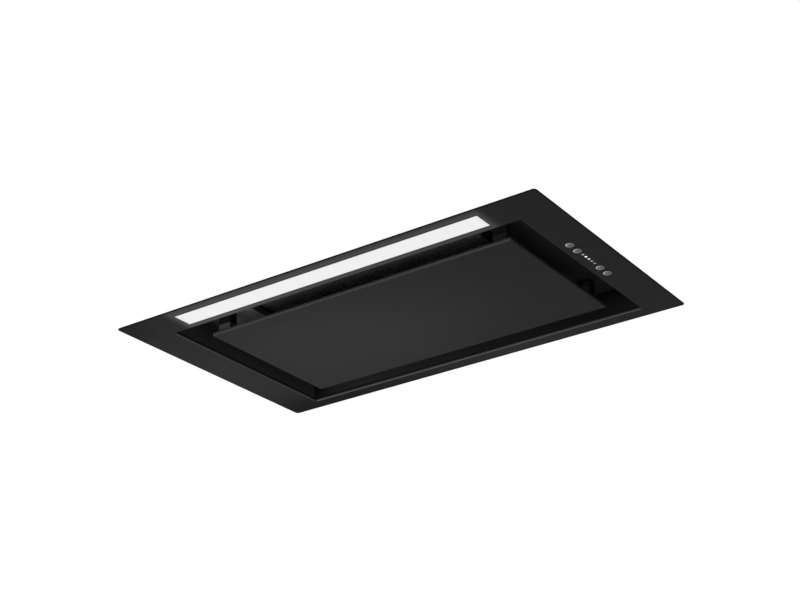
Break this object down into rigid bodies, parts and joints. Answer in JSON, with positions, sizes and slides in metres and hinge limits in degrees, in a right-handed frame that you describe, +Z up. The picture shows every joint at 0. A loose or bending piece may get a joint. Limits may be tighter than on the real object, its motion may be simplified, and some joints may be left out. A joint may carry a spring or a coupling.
{
  "type": "ceiling range hood",
  "caption": "Recessed ceiling hood: thin flush face plate, hinged perimeter suction panel, lamp strip, push buttons, grease filter, blower box and round outlet with flaps.",
  "frame": {"origin": "middle of the ceiling cut-out, in the plane of the ceiling's lower face, where the face plate's flange rests", "axes": "+X towards the buttons along the long side, +Y towards the side where the suction panel is hinged, +Z up into the ceiling"},
  "size_m": [0.52, 0.318, 0.3312],
  "materials": {
    "black_steel": "fine matt powder coat",
    "galvanised": "galvanised sheet with faint spangle",
    "spring_steel": "bright rolled strip",
    "filter_aluminium": "satin, lightly dulled",
    "black_plastic": "fine moulded grain",
    "opal_acrylic": "opal, satin",
    "white_plastic": "moulded",
    "led_phosphor": "glossy phosphor",
    "button_metal": "satin, domed",
    "lens_plastic": "clear diffusing",
    "circuit_board": "solder mask",
    "black_rubber": "soft matt",
    "cable_sheath": "smooth sheath",
    "motor_steel": "dark primer",
    "bright_steel": "ground and plated",
    "copper_winding": "lacquered wire",
    "ferrite": "sintered, dark"
  },
  "bodies": {
    "hood": {"face_plate": "black_steel", "lower_casing": "galvanised", "casing_roof": "galvanised", "motor_box": "galvanised", "motor_box_lid": "galvanised", "fixing_springs": "spring_steel", "support_plate": "black_steel", "filter_frame": "filter_aluminium", "filter_mesh": "filter_aluminium", "lamp_diffuser": "opal_acrylic", "lamp_housing": "white_plastic", "led_board": "white_plastic", "led_chips": "led_phosphor", "led_driver": "white_plastic", "lamp_cable": "cable_sheath", "hinge_brackets": "galvanised", "hinge_pins": "bright_steel", "catch_housings": "black_plastic", "catch_magnets": "ferrite", "control_carrier": "black_plastic", "indicator_lenses": "lens_plastic", "push_switches": "black_plastic", "switch_board": "circuit_board", "control_cover": "black_plastic", "control_cable": "cable_sheath", "cable_grommets": "black_rubber", "scroll_wrap": "galvanised", "scroll_side_left": "galvanised", "scroll_side_right": "galvanised", "motor_stator": "copper_winding", "motor_housing": "motor_steel", "motor_end_bell": "motor_steel", "motor_bearings": "bright_steel", "motor_spider": "galvanised", "motor_bushes": "black_rubber", "motor_screws": "bright_steel", "motor_cable": "cable_sheath", "outlet_collar": "black_plastic", "flap_spindle": "bright_steel", "electronics_box": "black_plastic", "electronics_cover": "black_plastic", "control_board": "circuit_board", "run_capacitor": "white_plastic", "cable_gland": "black_plastic", "body_screws": "bright_steel"},
    "panel": {"suction_panel": "black_steel", "panel_stiffener": "galvanised", "panel_catch_brackets": "black_steel", "panel_hinge_ears": "galvanised"},
    "fan": {"impeller": "black_plastic", "motor_shaft": "bright_steel", "shaft_clip": "spring_steel", "motor_rotor": "motor_steel"},
    "latch": {"filter_latch": "black_plastic"},
    "light_button": {"light_button": "button_metal"},
    "stop_button": {"stop_button": "button_metal"},
    "slower_button": {"slower_button": "button_metal"},
    "faster_button": {"faster_button": "button_metal"},
    "near_flap": {"near_flap": "black_plastic"},
    "far_flap": {"far_flap": "black_plastic"}
  },
  "joints": [
    {"name": "panel_hinge", "type": "hinge", "parent": "hood", "child": "panel", "pos_m": [0, 0.104, 0.01], "axis": [1, 0, 0], "range_deg": [0, 85]},
    {"name": "fan_spin", "type": "hinge", "parent": "hood", "child": "fan", "pos_m": [0, -0.03, 0.188], "axis": [1, 0, 0], "continuous": true},
    {"name": "latch_slide", "type": "slide", "parent": "hood", "child": "latch", "axis": [0, 1, 0], "range_m": [0, 0.005], "stiffness_N_per_m": 400, "springref_m": -0.004},
    {"name": "light_button_press", "type": "slide", "parent": "hood", "child": "light_button", "axis": [0, 0, 1], "range_m": [0, 0.0012], "stiffness_N_per_m": 500, "springref_m": -0.002},
    {"name": "stop_button_press", "type": "slide", "parent": "hood", "child": "stop_button", "axis": [0, 0, 1], "range_m": [0, 0.0012], "stiffness_N_per_m": 500, "springref_m": -0.002},
    {"name": "slower_button_press", "type": "slide", "parent": "hood", "child": "slower_button", "axis": [0, 0, 1], "range_m": [0, 0.0012], "stiffness_N_per_m": 500, "springref_m": -0.002},
    {"name": "faster_button_press", "type": "slide", "parent": "hood", "child": "faster_button", "axis": [0, 0, 1], "range_m": [0, 0.0012], "stiffness_N_per_m": 500, "springref_m": -0.002},
    {"name": "near_flap_hinge", "type": "hinge", "parent": "hood", "child": "near_flap", "pos_m": [0, 0.04475, 0.297], "axis": [-1, 0, 0], "range_deg": [0, 80]},
    {"name": "far_flap_hinge", "type": "hinge", "parent": "hood", "child": "far_flap", "pos_m": [0, 0.04475, 0.297], "axis": [1, 0, 0], "range_deg": [0, 80]}
  ]
}
